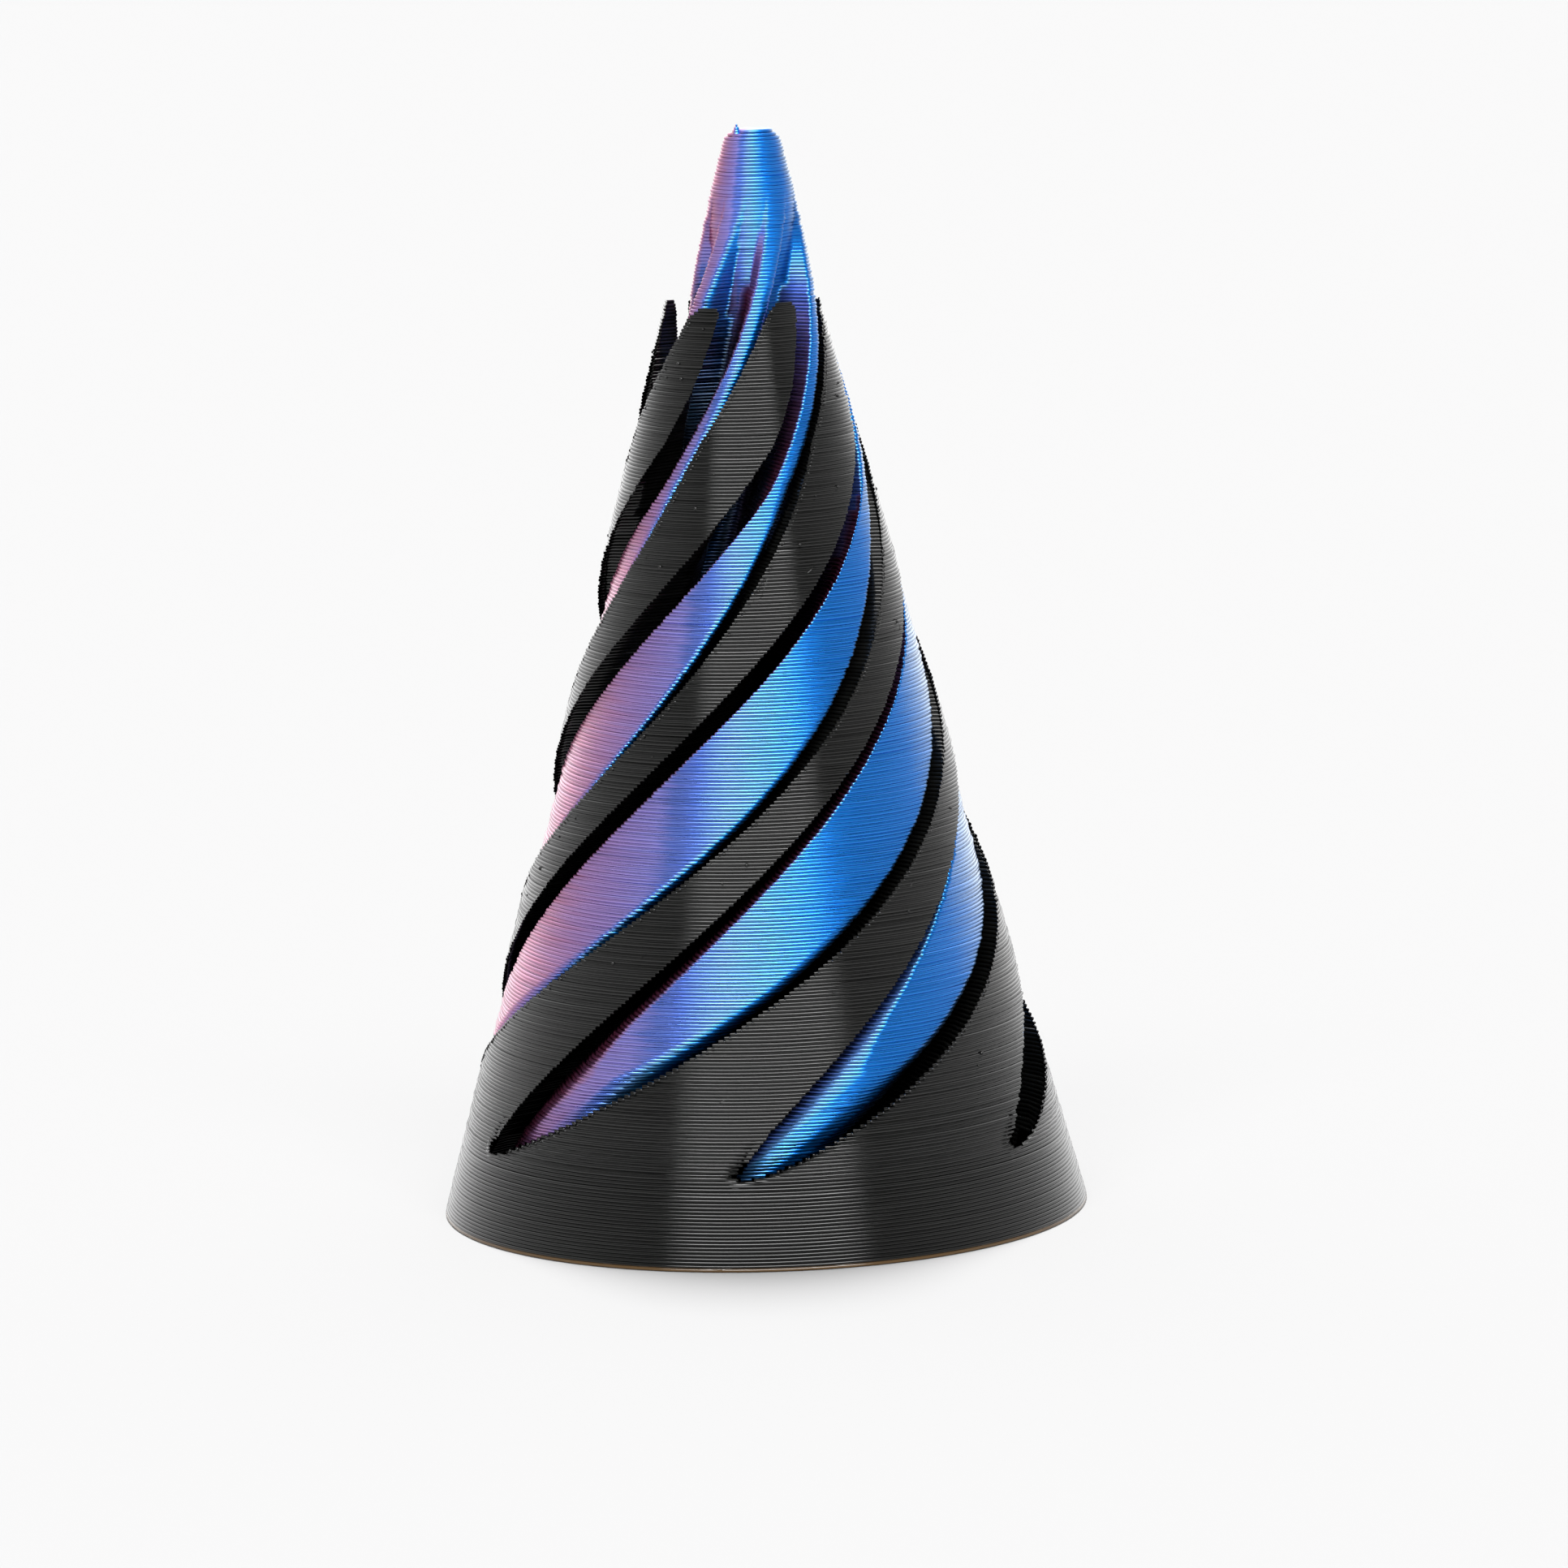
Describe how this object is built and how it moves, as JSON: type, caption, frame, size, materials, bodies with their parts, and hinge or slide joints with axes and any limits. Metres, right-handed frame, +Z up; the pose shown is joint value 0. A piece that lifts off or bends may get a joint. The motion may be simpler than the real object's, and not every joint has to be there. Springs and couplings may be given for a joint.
{
  "type": "spiral cone toy",
  "caption": "Printed pass-through spiral cone: a fluted shell with helical arms around a lobed core that screws up through it.",
  "frame": {"origin": "on the cone's axis, in the plane of the underside that it stands on", "axes": "+Z up along the axis the core rises on; +X through the middle of one slot at the foot"},
  "size_m": [0.038, 0.038, 0.064],
  "materials": {
    "shell_black": "layered print in satin black plastic, fine ridges all round",
    "core_silk": "layered print in two-colour silk plastic, blue on faces turned one way and magenta on faces turned the other"
  },
  "bodies": {
    "shell": {"shell": "shell_black"},
    "nose": {"core_nose": "core_silk"},
    "core": {"core": "core_silk"}
  },
  "joints": [
    {"name": "core_lift", "type": "slide", "parent": "shell", "child": "nose", "axis": [0, 0, 1], "range_m": [0, 0.055]},
    {"name": "core_turn", "type": "hinge", "parent": "nose", "child": "core", "pos_m": [0, 0, 0], "axis": [0, 0, 1], "range_deg": [0, 280]}
  ],
  "couplings": [
    {"joint": "core_turn", "follows": "core_lift", "rad_per_m": 88.746}
  ]
}
